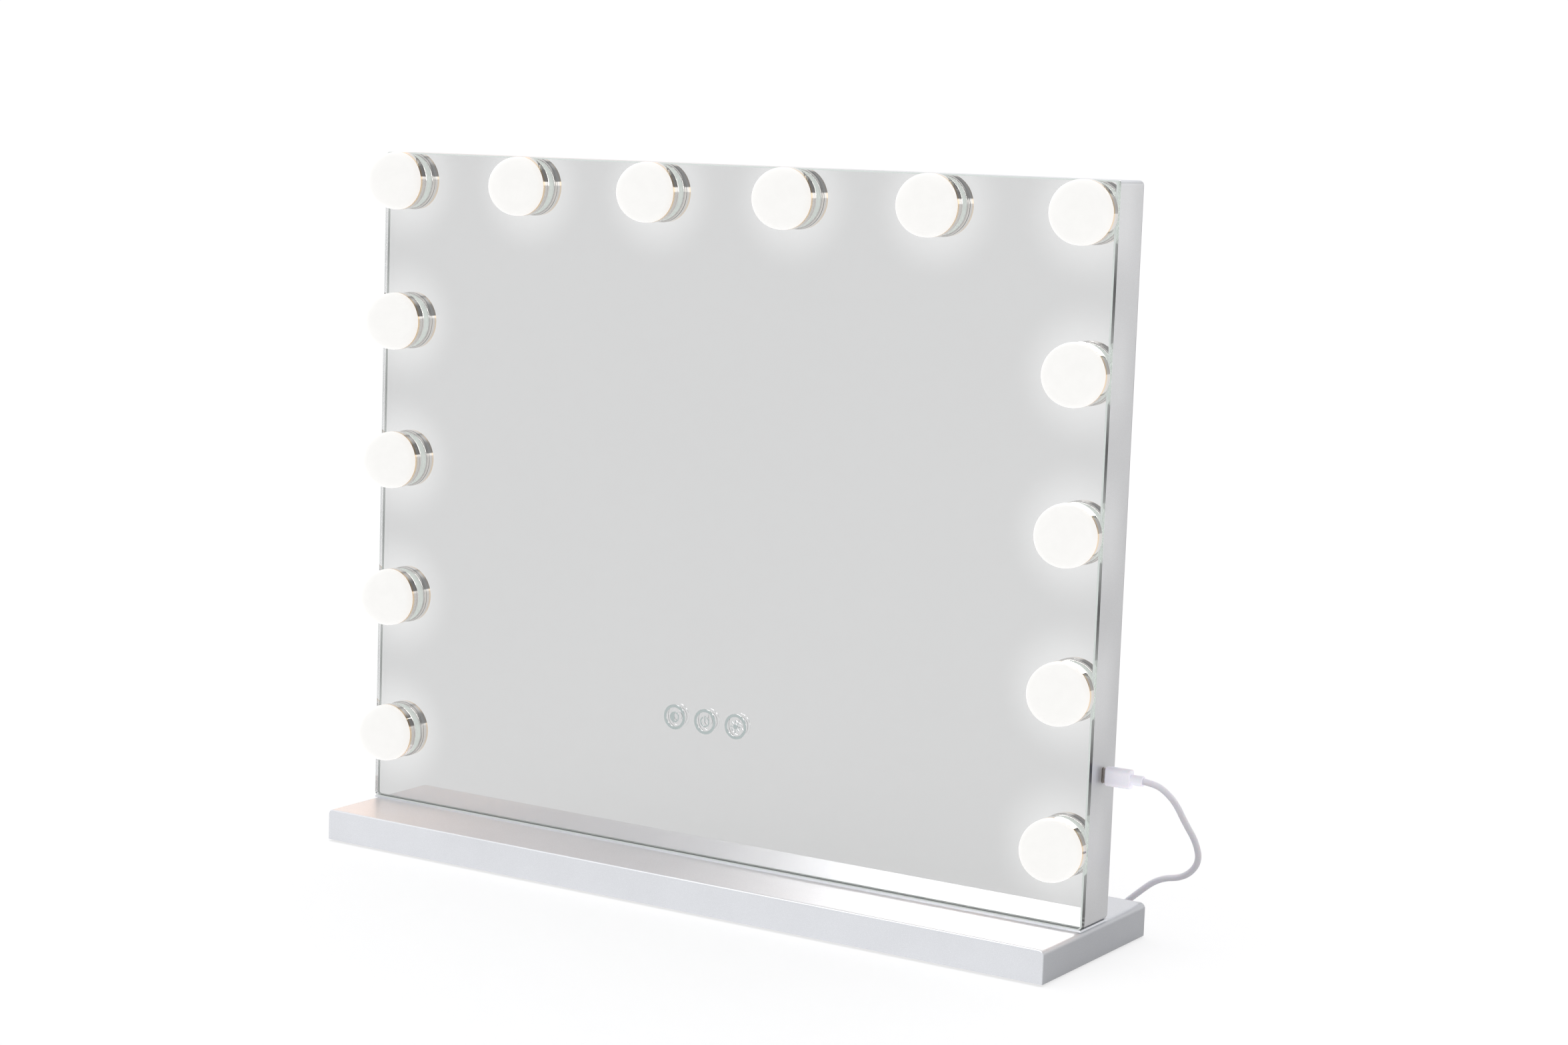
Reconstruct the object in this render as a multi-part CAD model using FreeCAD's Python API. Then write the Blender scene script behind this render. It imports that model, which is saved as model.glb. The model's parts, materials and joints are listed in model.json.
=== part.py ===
import FreeCAD, Part
import math
import os

# Lighted vanity mirror on a flat stand, with a USB-C lead plugged into its side.
# Millimetres.  +Z up, -Y to the user, +X to the user's right.  The origin is on the table,
# under the middle of the stand.

# ---- driving dimensions ------------------------------------------------------------------
WIDTH = 500.0          # mirror and stand
MIRROR_H = 410.0
MIRROR_D = 35.5        # glass and case together
GLASS_T = 4.0
GLASS_CORNER = 2.5
BEVEL_W = 0.8          # ground strip round the front of the glass
BEVEL_D = 0.6

BASE_D = 130.0
BASE_H = 20.4          # with the feet
FEET_H = 1.2
BASE_WALL = 1.2
BASE_SHOULDER = 3.2    # rounding of the top at its two ends
BASE_FRONT_EDGE = 0.8
BASE_REAR_EDGE = 2.2
PLATE_T = 1.2
SPACER_H = 1.2
GLASS_SETBACK = 45.0   # stand's front face to the glass

CASE_WALL = 1.0
CASE_EDGE = 3.5
CASE_RIM = 0.4         # rounding of the front rim, next to the glass
FRAME_W = 34.0         # flange behind the edge of the glass
FRAME_T = 2.0
TAPE_T = 1.0

BULB_R = 17.7
BULB_MARGIN_X = 16.0   # bulb axis to the side edges of the glass
BULB_MARGIN_Z = 17.5   # and to its top edge
BULB_COLUMNS = 6
BULB_ROWS = 5
BULB_PITCH_Z = 87.0
COLLAR_L = 6.5
FOOT_RING_L = 1.9      # turned ring at the back of the collar, behind a groove
GROOVE = 0.4
GASKET_T = 0.5
DOME_SKIRT = 2.0
DOME_WALL = 1.7
COLLAR_WALL = 1.3
STEM_R = 5.0

ICON_R = 7.5
ICON_PITCH = 21.5
ICON_Z = 104.0
ICON_T = 0.3
ICON_LINE = 0.8

PORT_Y = -2.0
PORT_Z = 106.0
PLUG_SHELL_L = 8.0     # metal tongue of the plug
PLUG_GAP = 2.3         # part of it that still shows when the plug is home
PLUG_BODY_L = 15.2
PLUG_RELIEF_L = 7.0
PLUG_SLEEVE_R = 2.9
CORD_D = 3.6

# ---- places worked out from them ---------------------------------------------------------
HALF_W = WIDTH / 2
GLASS_Y = GLASS_SETBACK - BASE_D / 2
GLASS_BACK = GLASS_Y + GLASS_T
CASE_BACK = GLASS_Y + MIRROR_D
MIRROR_Z0 = BASE_H + SPACER_H
MIRROR_Z1 = MIRROR_Z0 + MIRROR_H
MIRROR_MID = (MIRROR_Z0 + MIRROR_Z1) / 2
TAPE_BACK = GLASS_BACK + TAPE_T
FRAME_BACK = TAPE_BACK + FRAME_T
CASE_MID_Y = (GLASS_BACK + CASE_BACK) / 2
BASE_TOP_IN = BASE_H - BASE_WALL
BULB_X = HALF_W - BULB_MARGIN_X
BULB_TOP_Z = MIRROR_Z1 - BULB_MARGIN_Z

FRAME_POST_R = 4.0
FRAME_POSTS = [(x, z) for x in (-186, 0, 186) for z in (42, 404)]
FRAME_POSTS += [(x, z) for x in (-224, 224) for z in (197, 284)]
KEYHOLES = [(-150, 360), (150, 360)]
KEYHOLE_R = 4.5
KEYHOLE_SLOT_R = 2.2
KEYHOLE_RISE = 9.0

STAND_BOLTS_X = (-170, -60, 60, 170)
BOLT_R = 2.5
RAIL_T = 5.0
RAIL_W = 16.0
BASE_SCREWS = [(x, y) for x in (-238, 0, 238) for y in (-53, 53)]
FEET = [(x, y) for x in (-200, 200) for y in (-46, 46)]
FOOT_R = 8.0
SCREW_R = 1.5

BOARD_X0 = 181.0
BOARD_X1 = 247.5
BOARD_Z0 = 80.0
BOARD_Z1 = 133.0
BOARD_T = 1.6
INLET_W = 8.94         # standard receptacle, outside and inside
INLET_H = 3.16
INLET_IN_W = 8.34
INLET_IN_H = 2.56
INLET_L = 7.3
PLUG_SHELL_W = 8.25
PLUG_SHELL_H = 2.4
BOARD_Y = PORT_Y + INLET_H / 2
HARNESS_Y = -7.0
HARNESS_R = 1.2

# the lead: out of the plug, over the side of the stand and down to the table behind it
CORD_START = (HALF_W + PLUG_GAP + PLUG_BODY_L + PLUG_RELIEF_L, PORT_Y, PORT_Z)
COIL_CENTRE = (150.0, 118.0)
COIL_MEAN_R = 21.0
COIL_PITCH = 3.7
COIL_COLUMNS = 4
CORD_R = CORD_D / 2
COIL_OUTER_TURN = COIL_MEAN_R + (COIL_COLUMNS - 1) / 2 * COIL_PITCH
COIL_TOP_TURN = COIL_OUTER_TURN - COIL_PITCH
CORD_ROUTE = [
    CORD_START,
    (281.3, -1.9, 105.5),
    (287.2, -0.5, 102.0),
    (291.8, 3.6, 95.2),
    (293.6, 12.0, 84.0),
    (294.6, 27.0, 70.0),
    (290.5, 43.0, 54.5),
    (275.5, 58.0, 40.5),
    (254.5, 70.0, 34.5),
    (237.0, 79.5, 20.5),
    (218.5, 87.5, 4.0),
    (197.0, 92.0, 1.8),
    (177.0, COIL_CENTRE[1] - COIL_OUTER_TURN, 1.8),
    (161.0, COIL_CENTRE[1] - COIL_OUTER_TURN, 1.8),
]
TAIL_ROUTE = [
    (142.5, COIL_CENTRE[1] - COIL_TOP_TURN, 9.25),
    (131.0, 95.3, 9.0),
    (119.0, 96.6, 6.6),
    (108.0, 98.0, 4.0),
    (97.0, 98.0, 4.0),
]
USB_A_RELIEF_L = 9.0
USB_A_BODY_L = 26.0
USB_A_BODY_W = 15.0
USB_A_BODY_H = 7.6
USB_A_SHELL_L = 12.0
USB_A_SHELL_W = 12.0
USB_A_SHELL_H = 4.5

V = FreeCAD.Vector
X_AXIS = V(1, 0, 0)
Y_AXIS = V(0, 1, 0)
Z_AXIS = V(0, 0, 1)


# ---- helpers -----------------------------------------------------------------------------
def save(name, shape):
    shape.exportStep("parts/" + name + ".step")


def box(x0, x1, y0, y1, z0, z1):
    return Part.makeBox(x1 - x0, y1 - y0, z1 - z0, V(x0, y0, z0))


def rod_x(x0, x1, y, z, r):
    return Part.makeCylinder(r, x1 - x0, V(x0, y, z), X_AXIS)


def rod_y(x, z, y0, y1, r):
    return Part.makeCylinder(r, y1 - y0, V(x, y0, z), Y_AXIS)


def rod_z(x, y, z0, z1, r):
    return Part.makeCylinder(r, z1 - z0, V(x, y, z0), Z_AXIS)


def edges_where(shape, test):
    return [e for e in shape.Edges if test(e.BoundBox)]


def edges_along_y(shape):
    return edges_where(shape, lambda b: b.XLength < 1e-6 and b.ZLength < 1e-6)


def edges_along_z(shape):
    return edges_where(shape, lambda b: b.XLength < 1e-6 and b.YLength < 1e-6)


def upright_outline(half_w, z0, z1, r, y):
    """Rounded rectangle in the plane Y = y."""
    flat = box(-half_w, half_w, y, y + 1, z0, z1)
    if r > 0:
        flat = flat.makeFillet(r, edges_along_y(flat))
    front = [f for f in flat.Faces if f.BoundBox.YMax < y + 1e-6]
    return front[0].OuterWire


def spin(points, x, z):
    """Solid of revolution about the line through (x, z) along Y.

    Points are (radius, y).  A pair of points in one entry is an arc's middle and end."""
    here = V(x + points[0][0], points[0][1], z)
    first = here
    edges = []
    for entry in points[1:]:
        if len(entry) == 4:
            middle = V(x + entry[0], entry[1], z)
            end = V(x + entry[2], entry[3], z)
            edges.append(Part.Arc(here, middle, end).toShape())
        else:
            end = V(x + entry[0], entry[1], z)
            edges.append(Part.LineSegment(here, end).toShape())
        here = end
    edges.append(Part.LineSegment(here, first).toShape())
    face = Part.Face(Part.Wire(edges))
    return face.revolve(V(x, 0, z), Y_AXIS, 360)


def flat_oval(x0, x1, y, z, width, height):
    """Bar along X with a section rounded at its ends: width along Z, height along Y."""
    r = height / 2
    reach = width / 2 - r
    middle = box(x0, x1, y - r, y + r, z - reach, z + reach)
    ends = [rod_x(x0, x1, y, z + s * reach, r) for s in (-1, 1)]
    return middle.multiFuse(ends).removeSplitter()


def rounded_route(route):
    """Wire along a route: straight runs joined by tangent arcs, and the arcs' radii."""
    points = [V(*p) for p in route]
    runs = [(b - a).Length for a, b in zip(points, points[1:])]
    edges = []
    radii = []
    here = points[0]
    for i in range(1, len(points) - 1):
        back = (points[i - 1] - points[i]).normalize()
        ahead = (points[i + 1] - points[i]).normalize()
        half_turn = (math.pi - back.getAngle(ahead)) / 2
        setback = 0.45 * min(runs[i - 1], runs[i])
        radii.append(setback / math.tan(half_turn))
        start = points[i] + back * setback
        end = points[i] + ahead * setback
        to_centre = (back + ahead).normalize()
        centre = points[i] + to_centre * (radii[-1] / math.cos(half_turn))
        middle = centre - to_centre * radii[-1]
        edges.append(Part.LineSegment(here, start).toShape())
        edges.append(Part.Arc(start, middle, end).toShape())
        here = end
    edges.append(Part.LineSegment(here, points[-1]).toShape())
    return Part.Wire(edges), radii


def tube(route, radius):
    path, radii = rounded_route(route)
    heading = V(*route[1]) - V(*route[0])
    section = Part.Wire(Part.makeCircle(radius, V(*route[0]), heading))
    solid = path.makePipeShell([section], True, False)
    return solid, path.Length, radii


def bulb_places():
    """(x, z) of the bulbs: the top row from the left, then the two sides downwards."""
    pitch = 2 * BULB_X / (BULB_COLUMNS - 1)
    places = [(-BULB_X + i * pitch, BULB_TOP_Z) for i in range(BULB_COLUMNS)]
    for x in (-BULB_X, BULB_X):
        places += [(x, BULB_TOP_Z - i * BULB_PITCH_Z) for i in range(1, BULB_ROWS)]
    return places


BULBS = bulb_places()


# ---- glass and touch symbols -------------------------------------------------------------
def ring(x, z, outer, inner, y0, y1):
    return rod_y(x, z, y0, y1, outer).cut(rod_y(x, z, y0, y1, inner))


def tone_symbol(x, z, y0, y1):
    """Circle with one half filled: colour of the light."""
    outline = ring(x, z, 3.2, 3.2 - ICON_LINE, y0, y1)
    half = rod_y(x, z, y0, y1, 3.0).common(box(x - 4, x, y0, y1, z - 4, z + 4))
    return [outline.fuse(half).removeSplitter()]


def power_symbol(x, z, y0, y1):
    """Broken ring with an upright bar: on and off."""
    gap = box(x - 1.3, x + 1.3, y0, y1, z, z + 4)
    bar = box(x - ICON_LINE / 2, x + ICON_LINE / 2, y0, y1, z - 0.2, z + 3.6)
    return [ring(x, z, 3.2, 3.2 - ICON_LINE, y0, y1).cut(gap), bar]


def brightness_symbol(x, z, y0, y1):
    """Disc with eight rays."""
    solids = [rod_y(x, z, y0, y1, 1.5)]
    for i in range(8):
        ray = box(x + 2.2, x + 3.6, y0, y1, z - 0.3, z + 0.3)
        ray.rotate(V(x, 0, z), Y_AXIS, 45 * i)
        solids.append(ray)
    return solids


def make_touch_icons():
    y0 = GLASS_Y
    y1 = GLASS_Y + ICON_T
    solids = []
    symbols = (tone_symbol, power_symbol, brightness_symbol)
    for i, symbol in enumerate(symbols):
        x = (i - 1) * ICON_PITCH
        solids.append(ring(x, ICON_Z, ICON_R, ICON_R - 1.7, y0, y1))
        solids += symbol(x, ICON_Z, y0, y1)
    return Part.makeCompound(solids)


def make_mirror_glass(icons):
    edge_y = GLASS_Y + BEVEL_D
    outer = upright_outline(HALF_W, MIRROR_Z0, MIRROR_Z1, GLASS_CORNER, edge_y)
    plate = Part.Face(outer).extrude(V(0, GLASS_BACK - edge_y, 0))
    inner = upright_outline(HALF_W - BEVEL_W, MIRROR_Z0 + BEVEL_W, MIRROR_Z1 - BEVEL_W,
                            GLASS_CORNER - BEVEL_W, GLASS_Y)
    glass = plate.fuse(Part.makeLoft([outer, inner], True, True)).removeSplitter()
    holes = [rod_y(x, z, GLASS_Y - 1, GLASS_BACK + 1, STEM_R + 0.3) for x, z in BULBS]
    return glass.cut(Part.makeCompound(holes)).cut(icons)


# ---- bulbs -------------------------------------------------------------------------------
COLLAR_Y1 = GLASS_Y - GASKET_T
COLLAR_Y0 = COLLAR_Y1 - COLLAR_L
DOME_Y = COLLAR_Y0 - DOME_SKIRT
FLOOR_Y = COLLAR_Y1 - 1.5
LED_BOARD_T = 1.2
NUT_T = 3.0


def make_dome(x, z):
    """Hollow opal cap: half a ball on a short skirt, with a neck inside the collar."""
    outer = BULB_R
    inner = BULB_R - DOME_WALL
    neck = BULB_R - COLLAR_WALL - 0.1
    diagonal = math.sqrt(0.5)
    return spin([
        (0, DOME_Y - outer),
        (outer * diagonal, DOME_Y - outer * diagonal, outer, DOME_Y),
        (outer, COLLAR_Y0),
        (neck, COLLAR_Y0),
        (neck, COLLAR_Y0 + 2.0),
        (neck - 1.2, COLLAR_Y0 + 2.0),
        (neck - 1.2, COLLAR_Y0),
        (inner, DOME_Y),
        (inner * diagonal, DOME_Y - inner * diagonal, 0, DOME_Y - inner),
    ], x, z)


def make_collar(x, z):
    """Polished cup with a groove, a rounded foot ring and a hollow threaded stem."""
    r = BULB_R
    foot_r = r - 0.15
    foot_y = COLLAR_Y1 - FOOT_RING_L
    bend = 0.9
    diagonal = bend * (1 - math.sqrt(0.5))
    stem_end = GLASS_BACK + 6.0
    return spin([
        (r - COLLAR_WALL, COLLAR_Y0),
        (r - 0.3, COLLAR_Y0),
        (r, COLLAR_Y0 + 0.3),
        (r, foot_y - GROOVE),
        (r - GROOVE, foot_y - GROOVE),
        (r - GROOVE, foot_y),
        (foot_r, foot_y),
        (foot_r, COLLAR_Y1 - bend),
        (foot_r - diagonal, COLLAR_Y1 - diagonal, foot_r - bend, COLLAR_Y1),
        (STEM_R, COLLAR_Y1),
        (STEM_R, stem_end),
        (STEM_R - 2.5, stem_end),
        (STEM_R - 2.5, FLOOR_Y),
        (r - COLLAR_WALL, FLOOR_Y),
    ], x, z)


def make_gaskets():
    rings = [ring(x, z, BULB_R - 0.9, STEM_R + 1.5, COLLAR_Y1, GLASS_Y) for x, z in BULBS]
    return Part.makeCompound(rings)


def make_led_boards():
    y0 = FLOOR_Y - LED_BOARD_T
    boards = [ring(x, z, 13.0, 2.0, y0, FLOOR_Y) for x, z in BULBS]
    return Part.makeCompound(boards)


def make_led_chips():
    y1 = FLOOR_Y - LED_BOARD_T
    chips = []
    for x, z in BULBS:
        for i in range(6):
            turn = math.radians(60 * i)
            cx = x + 7.5 * math.cos(turn)
            cz = z + 7.5 * math.sin(turn)
            chips.append(box(cx - 1.4, cx + 1.4, y1 - 0.8, y1, cz - 1.4, cz + 1.4))
    return Part.makeCompound(chips)


def make_bulb_nuts():
    nuts = []
    for x, z in BULBS:
        corners = [V(x + 8.6 * math.cos(math.radians(60 * i)), GLASS_BACK,
                     z + 8.6 * math.sin(math.radians(60 * i))) for i in range(7)]
        hexagon = Part.Face(Part.makePolygon(corners)).extrude(V(0, NUT_T, 0))
        nuts.append(hexagon.cut(rod_y(x, z, GLASS_BACK, GLASS_BACK + NUT_T, STEM_R)))
    return Part.makeCompound(nuts)


# ---- case and what is inside it ----------------------------------------------------------
def keyhole(x, z):
    y0 = CASE_BACK - CASE_WALL - 1
    y1 = CASE_BACK + 1
    slot = box(x - KEYHOLE_SLOT_R, x + KEYHOLE_SLOT_R, y0, y1, z, z + KEYHOLE_RISE)
    top = rod_y(x, z + KEYHOLE_RISE, y0, y1, KEYHOLE_SLOT_R)
    return rod_y(x, z, y0, y1, KEYHOLE_R).multiFuse([slot, top])


def make_rear_case():
    shell = box(-HALF_W, HALF_W, GLASS_BACK, CASE_BACK, MIRROR_Z0, MIRROR_Z1)
    shell = shell.makeFillet(GLASS_CORNER, edges_along_y(shell))
    rear = edges_where(shell, lambda b: b.YMin > CASE_BACK - 1e-3)
    shell = shell.makeFillet(CASE_EDGE, rear)
    front = edges_where(shell, lambda b: b.YMax < GLASS_BACK + 1e-3)
    shell = shell.makeFillet(CASE_RIM, front)
    t = CASE_WALL
    hollow = box(-HALF_W + t, HALF_W - t, GLASS_BACK - 1, CASE_BACK - t,
                 MIRROR_Z0 + t, MIRROR_Z1 - t)
    rear_in = edges_where(hollow, lambda b: b.YMin > CASE_BACK - t - 1e-3)
    hollow = hollow.makeFillet(CASE_EDGE - t, rear_in)
    cuts = [flat_oval(HALF_W - t - 1, HALF_W + 1, PORT_Y, PORT_Z, INLET_W + 0.4, INLET_H + 0.4)]
    cuts += [rod_y(x, z, CASE_BACK - t - 1, CASE_BACK + 1, SCREW_R) for x, z in FRAME_POSTS]
    cuts += [rod_z(x, CASE_MID_Y, MIRROR_Z0 - 1, MIRROR_Z0 + t + 1, BOLT_R)
             for x in STAND_BOLTS_X]
    cuts += [keyhole(x, z) for x, z in KEYHOLES]
    return shell.cut(hollow).cut(Part.makeCompound(cuts))


def flange(inset, width, y0, y1):
    """Flat ring behind the glass with a clear hole round each bulb's nut."""
    outer = box(-HALF_W + inset, HALF_W - inset, y0, y1, MIRROR_Z0 + inset, MIRROR_Z1 - inset)
    inner_edge = inset + width
    window = box(-HALF_W + inner_edge, HALF_W - inner_edge, y0, y1,
                 MIRROR_Z0 + inner_edge, MIRROR_Z1 - inner_edge)
    holes = [rod_y(x, z, y0, y1, 10.0) for x, z in BULBS]
    return outer.cut(Part.makeCompound([window] + holes))


def make_support_frame():
    ring_solid = flange(2.0, FRAME_W, TAPE_BACK, FRAME_BACK)
    inside = CASE_BACK - CASE_WALL
    posts = [rod_y(x, z, FRAME_BACK, inside, FRAME_POST_R) for x, z in FRAME_POSTS]
    frame = ring_solid.multiFuse(posts)
    pilots = [rod_y(x, z, inside - 9, inside, SCREW_R) for x, z in FRAME_POSTS]
    return frame.cut(Part.makeCompound(pilots))


def make_mounting_tape():
    return flange(4.0, FRAME_W - 4.0, GLASS_BACK, TAPE_BACK)


def make_frame_screws():
    inside = CASE_BACK - CASE_WALL
    screws = []
    for x, z in FRAME_POSTS:
        head = spin([(0, CASE_BACK), (2.9, CASE_BACK), (2.9, CASE_BACK + 0.7),
                     (1.7, CASE_BACK + 1.5), (0, CASE_BACK + 1.5)], x, z)
        slot = box(x - 1.5, x + 1.5, CASE_BACK + 0.8, CASE_BACK + 2, z - 0.3, z + 0.3)
        cross = box(x - 0.3, x + 0.3, CASE_BACK + 0.8, CASE_BACK + 2, z - 1.5, z + 1.5)
        shank = rod_y(x, z, inside - 7, CASE_BACK, SCREW_R)
        screws.append(head.fuse(shank).cut(slot.fuse(cross)))
    return Part.makeCompound(screws)


def make_touch_board():
    board = box(-36, 36, GLASS_BACK + 0.6, GLASS_BACK + 1.8, ICON_Z - 11, ICON_Z + 11)
    pads = [rod_y(i * ICON_PITCH, ICON_Z, GLASS_BACK, GLASS_BACK + 0.6, 7.0) for i in (-1, 0, 1)]
    chip = box(-4, 4, GLASS_BACK + 1.8, GLASS_BACK + 3.2, ICON_Z - 4, ICON_Z + 4)
    socket = box(28, 35, GLASS_BACK + 1.8, GLASS_BACK + 6.0, ICON_Z - 5, ICON_Z + 5)
    return board.multiFuse(pads + [chip, socket])


BOARD_POSTS = [(x, z) for x in (186, 236) for z in (85, 128)]


def make_driver_board():
    board = box(BOARD_X0, BOARD_X1, BOARD_Y, BOARD_Y + BOARD_T, BOARD_Z0, BOARD_Z1)
    holes = [rod_y(x, z, BOARD_Y, BOARD_Y + BOARD_T, 1.6) for x, z in BOARD_POSTS]
    return board.cut(Part.makeCompound(holes))


def make_driver_standoffs():
    """Nylon posts with a snap head above the board."""
    inside = CASE_BACK - CASE_WALL
    under = BOARD_Y + BOARD_T
    posts = []
    for x, z in BOARD_POSTS:
        posts.append(spin([(0, BOARD_Y - 1.6), (1.0, BOARD_Y - 1.6), (2.1, BOARD_Y),
                           (1.6, BOARD_Y), (1.6, under), (3.2, under),
                           (3.2, inside), (0, inside)], x, z))
    return Part.makeCompound(posts)


def make_driver_components():
    y1 = BOARD_Y
    back = BOARD_Y + BOARD_T
    return Part.makeCompound([
        box(204, 212, y1 - 1.4, y1, 100, 108),
        box(216, 222, y1 - 2.6, y1, 112, 118),
        box(198, 206, y1 - 3.0, y1, 114, 122),
        box(186, 191, y1 - 1.8, y1, 98, 110),
        box(216, 226, y1 - 3.4, y1, 86, 92),
        rod_y(205, 92, back, back + 7.5, 4.0),
        rod_y(218, 100, back, back + 7.5, 4.0),
        box(226, 231, y1 - 1.2, y1, 100, 106),
    ])


def make_usb_c_inlet():
    x1 = HALF_W - 0.1
    x0 = x1 - INLET_L
    shell = flat_oval(x0, x1, PORT_Y, PORT_Z, INLET_W, INLET_H)
    cavity = flat_oval(x0 + 0.5, x1 + 1, PORT_Y, PORT_Z, INLET_IN_W, INLET_IN_H)
    tongue = box(x0 + 0.3, x0 + 5.2, PORT_Y - 0.35, PORT_Y + 0.35, PORT_Z - 3.35, PORT_Z + 3.35)
    return shell.cut(cavity).fuse(tongue)


def make_led_wire():
    """Wire round the top and sides, with a branch into each bulb."""
    low = BULBS[-1][1]
    sides = [rod_z(x, HARNESS_Y, low, BULB_TOP_Z, HARNESS_R) for x in (-BULB_X, BULB_X)]
    corners = [Part.makeSphere(HARNESS_R, V(x, HARNESS_Y, BULB_TOP_Z))
               for x in (-BULB_X, BULB_X)]
    branches = [rod_y(x, z, FLOOR_Y - 0.4, HARNESS_Y, 0.9) for x, z in BULBS]
    top = rod_x(-BULB_X, BULB_X, HARNESS_Y, BULB_TOP_Z, HARNESS_R)
    lead = rod_y(BULB_X, 90.0, HARNESS_Y, BOARD_Y, 0.9)
    return top.multiFuse(sides + corners + branches + [lead])


def make_touch_wire():
    """Flat lead from the touch board across to the driver board."""
    y0 = GLASS_BACK + 4.0
    y1 = BOARD_Y
    across = box(35, BOARD_X0 + 4, y0, y0 + 1.0, ICON_Z - 3, ICON_Z + 3)
    down = box(BOARD_X0 + 3, BOARD_X0 + 4, y0, y1, ICON_Z - 3, ICON_Z + 3)
    return across.fuse(down).removeSplitter()


def make_case_rail():
    z0 = MIRROR_Z0 + CASE_WALL
    rail = box(-200, 200, CASE_MID_Y - RAIL_W / 2, CASE_MID_Y + RAIL_W / 2, z0, z0 + RAIL_T)
    holes = [rod_z(x, CASE_MID_Y, z0, z0 + RAIL_T, BOLT_R) for x in STAND_BOLTS_X]
    return rail.cut(Part.makeCompound(holes))


# ---- stand -------------------------------------------------------------------------------
def top_ends(shape, z):
    """The two edges at the height z that run from front to back."""
    return edges_where(shape, lambda b: b.ZMin > z - 1e-3 and b.XLength < 1e-6)


def above_foot(shape, test):
    """Edges that pass the test and aren't on the bottom rim."""
    return [e for e in edges_where(shape, test) if e.BoundBox.ZMax > FEET_H + 1e-3]


def make_base_shell():
    z0 = FEET_H
    t = BASE_WALL
    half_d = BASE_D / 2
    shell = box(-HALF_W, HALF_W, -half_d, half_d, z0, BASE_H)
    shell = shell.makeFillet(BASE_SHOULDER, top_ends(shell, BASE_H))
    shell = shell.makeFillet(BASE_FRONT_EDGE, above_foot(shell, lambda b: b.YMax < 1e-3 - half_d))
    shell = shell.makeFillet(BASE_REAR_EDGE, above_foot(shell, lambda b: b.YMin > half_d - 1e-3))
    hollow = box(-HALF_W + t, HALF_W - t, -half_d + t, half_d - t, z0 - 1, BASE_TOP_IN)
    hollow = hollow.makeFillet(BASE_SHOULDER - t, top_ends(hollow, BASE_TOP_IN))
    shell = shell.cut(hollow)
    bosses = [rod_z(x, y, z0 + PLATE_T, BASE_TOP_IN, 3.5) for x, y in BASE_SCREWS]
    pilots = [rod_z(x, y, z0 + PLATE_T, z0 + 9, SCREW_R) for x, y in BASE_SCREWS]
    bolts = [rod_z(x, CASE_MID_Y, BASE_TOP_IN - 1, BASE_H + 1, BOLT_R) for x in STAND_BOLTS_X]
    return shell.multiFuse(bosses).cut(Part.makeCompound(pilots + bolts))


def make_base_plate():
    inset = BASE_WALL + 0.2
    half_d = BASE_D / 2
    z1 = FEET_H + PLATE_T
    plate = box(-HALF_W + inset, HALF_W - inset, -half_d + inset, half_d - inset, FEET_H, z1)
    plate = plate.makeFillet(1.5, edges_along_z(plate))
    holes = [countersink(x, y, 0.0) for x, y in BASE_SCREWS]
    return plate.cut(Part.makeCompound(holes))


def countersink(x, y, extra):
    """Flat-headed screw's head and the start of its shank, point up."""
    cone = Part.makeCone(2.9, SCREW_R, PLATE_T - 0.1, V(x, y, FEET_H), Z_AXIS)
    return cone.fuse(rod_z(x, y, FEET_H, FEET_H + PLATE_T + extra, SCREW_R))


def make_base_screws():
    screws = []
    for x, y in BASE_SCREWS:
        recess = Part.makeCone(1.2, 0.7, 0.8, V(x, y, FEET_H), Z_AXIS)
        screws.append(countersink(x, y, 5.0).cut(recess))
    return Part.makeCompound(screws)


def make_rubber_feet():
    feet = []
    for x, y in FEET:
        foot = rod_z(x, y, 0, FEET_H, FOOT_R)
        feet.append(foot.makeChamfer(0.4, edges_where(foot, lambda b: b.ZMax < 1e-3)))
    return Part.makeCompound(feet)


def make_stand_spacers():
    """Rubber strips that hold the mirror just clear of the stand."""
    strips = []
    for side in (-1, 1):
        x0, x1 = sorted((side * 40, side * 225))
        strip = box(x0, x1, CASE_MID_Y - 9, CASE_MID_Y + 9, BASE_H, MIRROR_Z0)
        strips.append(strip)
    block = Part.makeCompound(strips)
    return block.cut(Part.makeCompound(
        [rod_z(x, CASE_MID_Y, BASE_H, MIRROR_Z0, BOLT_R) for x in STAND_BOLTS_X]))


def make_stand_bolts():
    bolts = []
    top = MIRROR_Z0 + CASE_WALL + RAIL_T
    for x in STAND_BOLTS_X:
        head = rod_z(x, CASE_MID_Y, BASE_TOP_IN - 3, BASE_TOP_IN, 4.6)
        bolt = head.fuse(rod_z(x, CASE_MID_Y, BASE_TOP_IN, top, BOLT_R))
        bolts.append(bolt.cut(rod_z(x, CASE_MID_Y, BASE_TOP_IN - 3, BASE_TOP_IN - 1, 1.8)))
    return Part.makeCompound(bolts)


# ---- the lead ----------------------------------------------------------------------------
def make_usb_plug_shell():
    x1 = HALF_W + PLUG_GAP
    x0 = x1 - PLUG_SHELL_L
    shell = flat_oval(x0, x1, PORT_Y, PORT_Z, PLUG_SHELL_W, PLUG_SHELL_H)
    cavity = flat_oval(x0 - 1, x0 + 6.2, PORT_Y, PORT_Z, PLUG_SHELL_W - 0.6, PLUG_SHELL_H - 0.6)
    return shell.cut(cavity)


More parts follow.
